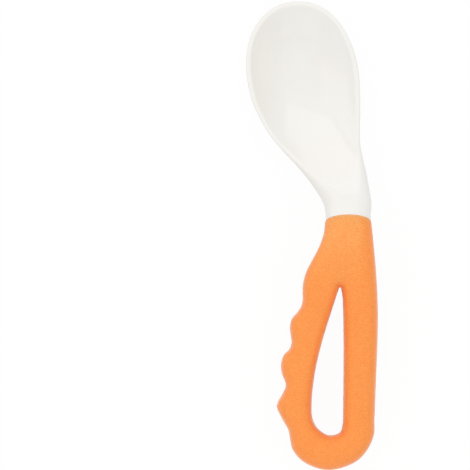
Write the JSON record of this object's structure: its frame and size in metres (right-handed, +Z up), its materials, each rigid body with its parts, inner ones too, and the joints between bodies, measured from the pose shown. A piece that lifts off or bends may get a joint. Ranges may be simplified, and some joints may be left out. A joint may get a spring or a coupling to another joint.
{
  "type": "baby spoon",
  "caption": "Toddler spoon with a deep oval bowl bent to the left of a soft looped handle with finger recesses and a long opening.",
  "frame": {"origin": "middle of the bounding box on the surface that the spoon lies on", "axes": "+Y along the length from the tail of the handle to the tip of the bowl, +X to the right seen from above, +Z up out of the bowl"},
  "size_m": [0.0418, 0.14, 0.0169],
  "materials": {
    "white_plastic": "glossy cream-white food-safe polypropylene",
    "soft_grip": "matte orange thermoplastic elastomer with a fine leather grain"
  },
  "bodies": {
    "root": {"spoon_body": "white_plastic", "grip": "soft_grip"}
  },
  "joints": []
}
